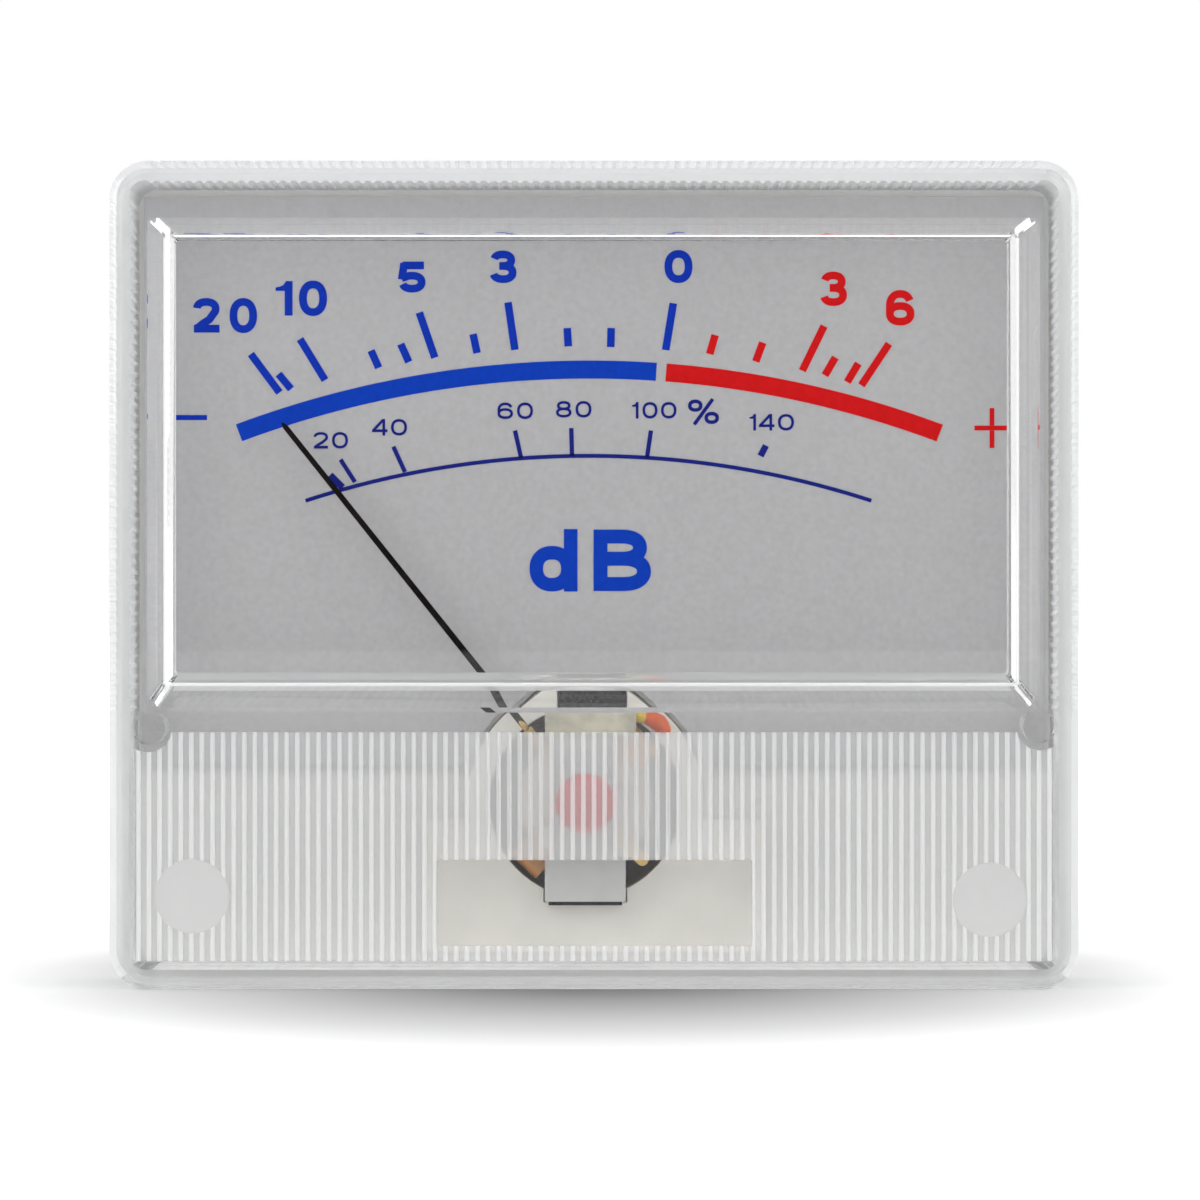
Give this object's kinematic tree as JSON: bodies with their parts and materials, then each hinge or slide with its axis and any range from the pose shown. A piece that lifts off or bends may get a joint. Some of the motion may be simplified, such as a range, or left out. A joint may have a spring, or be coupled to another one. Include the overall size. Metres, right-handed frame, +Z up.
{
  "type": "analog panel level meter",
  "caption": "Analog moving-coil level meter with clear raised-window cover, grey dial plate, swinging pointer and white rear case with solder lugs.",
  "frame": {"origin": "on the surface the meter stands on, under the middle of the box that holds the whole meter", "axes": "+X to the viewer's right, +Y from the window towards the solder lugs, +Z up the dial"},
  "size_m": [0.055, 0.027, 0.047],
  "materials": {
    "clear_cover": "gloss",
    "white_case": "satin",
    "diffuser": "matte",
    "dial_grey": "matte",
    "cream_plastic": "satin",
    "bridge_plastic": "satin",
    "steel": "satin",
    "magnet": "satin",
    "red_lacquer": "gloss",
    "brass": "satin",
    "tinned_brass": "satin",
    "jewel": "polished",
    "spring_bronze": "satin",
    "aluminium": "satin",
    "copper_enamel": "gloss",
    "pointer_black": "satin",
    "bulb_glass": "polished",
    "lead_orange": "satin",
    "lead_yellow": "satin",
    "lead_white": "satin"
  },
  "bodies": {
    "case": {"front_cover": "clear_cover", "rear_case": "white_case", "inner_deck": "white_case", "diffuser_sheet": "diffuser", "dial_plate": "dial_grey", "movement_frame": "cream_plastic", "yoke_ring": "steel", "core_magnet": "magnet", "front_bridge": "bridge_plastic", "lacquer_seal": "red_lacquer", "rear_bridge": "cream_plastic", "front_jewel_screw": "brass", "front_jewel": "jewel", "rear_jewel_screw": "brass", "rear_jewel": "jewel", "rear_spring_arm": "brass", "front_hairspring": "spring_bronze", "rear_hairspring": "spring_bronze", "movement_screws": "steel", "positive_lug": "tinned_brass", "negative_lug": "tinned_brass", "lamp_lug_left": "tinned_brass", "lamp_lug_right": "tinned_brass", "lug_rivets": "tinned_brass", "lamp_bulb": "bulb_glass", "lamp_cap": "brass", "lamp_filament": "steel", "lamp_holder": "white_case", "positive_lead": "lead_orange", "negative_lead": "lead_yellow", "lamp_wire_left": "lead_white", "lamp_wire_right": "lead_white"},
    "needle": {"coil_former": "aluminium", "coil_winding": "copper_enamel", "front_cross_arm": "brass", "rear_cross_arm": "brass", "balance_weights": "steel", "front_pivot": "steel", "rear_pivot": "steel", "pointer": "pointer_black"},
    "zero_arm": {"zero_set_arm": "brass"}
  },
  "joints": [
    {"name": "needle_swing", "type": "hinge", "parent": "case", "child": "needle", "pos_m": [-0.0005, -0.003, 0.0105], "axis": [0, 1, 0], "range_deg": [-3, 83], "stiffness_Nm_per_rad": 0.00001, "deforming": ["front_hairspring", "rear_hairspring"]},
    {"name": "zero_set", "type": "hinge", "parent": "case", "child": "zero_arm", "pos_m": [-0.0005, -0.0084, 0.0105], "axis": [0, 1, 0], "range_deg": [-8, 8]}
  ]
}
